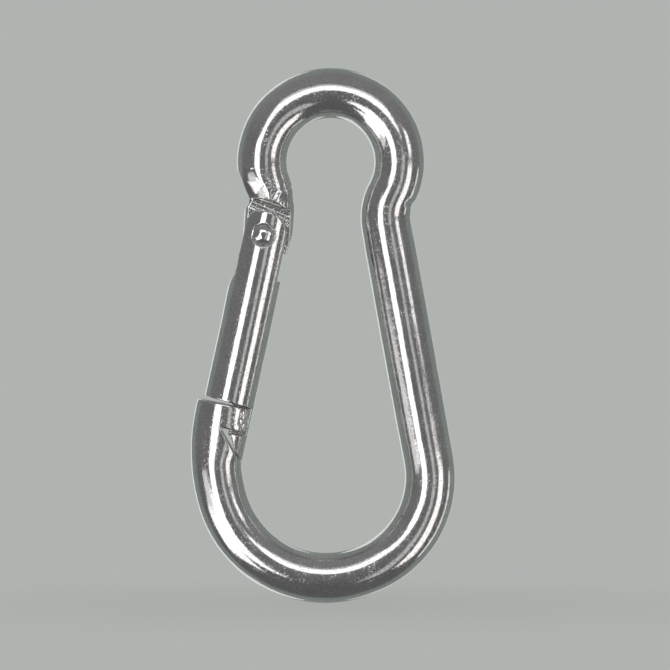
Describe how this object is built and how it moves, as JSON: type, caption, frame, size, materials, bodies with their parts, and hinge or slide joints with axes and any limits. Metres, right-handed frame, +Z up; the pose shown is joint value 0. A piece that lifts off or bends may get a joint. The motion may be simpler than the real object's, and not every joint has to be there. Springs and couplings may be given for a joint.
{
  "type": "spring snap hook",
  "caption": "Pear-shaped hook of bent round bar with a small eye, a large bow and a sprung gate that hinges inward on a rivet.",
  "frame": {"origin": "centre of the closed hook's bounding box, in the plane of the bar's axis", "axes": "+Z up from the bow to the eye, +Y along the hinge rivet, +X from the gate across to the long leg"},
  "size_m": [0.0592, 0.0126, 0.12],
  "materials": {
    "body_steel": "tumble-polished stainless steel with fine pits and handling scratches",
    "gate_steel": "tumble-polished stainless steel, with sawn and milled end faces",
    "rivet_steel": "bright upset rivet head in stainless steel",
    "spring_steel": "drawn stainless spring wire",
    "plunger_steel": "turned stainless steel"
  },
  "bodies": {
    "hook": {"hook_body": "body_steel"},
    "swing_gate": {"gate": "gate_steel", "hinge_rivet": "rivet_steel", "gate_spring": "spring_steel"},
    "plunger": {"spring_plunger": "plunger_steel"}
  },
  "joints": [
    {"name": "gate_hinge", "type": "hinge", "parent": "hook", "child": "swing_gate", "pos_m": [-0.01335, 0, 0.02251], "axis": [0, -1, 0], "range_deg": [0, 35], "stiffness_Nm_per_rad": 0.12, "springref_deg": -22.92},
    {"name": "plunger_slide", "type": "slide", "parent": "swing_gate", "child": "plunger", "axis": [-0.2111, 0, -0.9775], "range_m": [0, 0.00285], "deforming": ["gate_spring"]}
  ],
  "couplings": [
    {"joint": "plunger_slide", "follows": "gate_hinge", "m_per_rad": 0.00466}
  ]
}
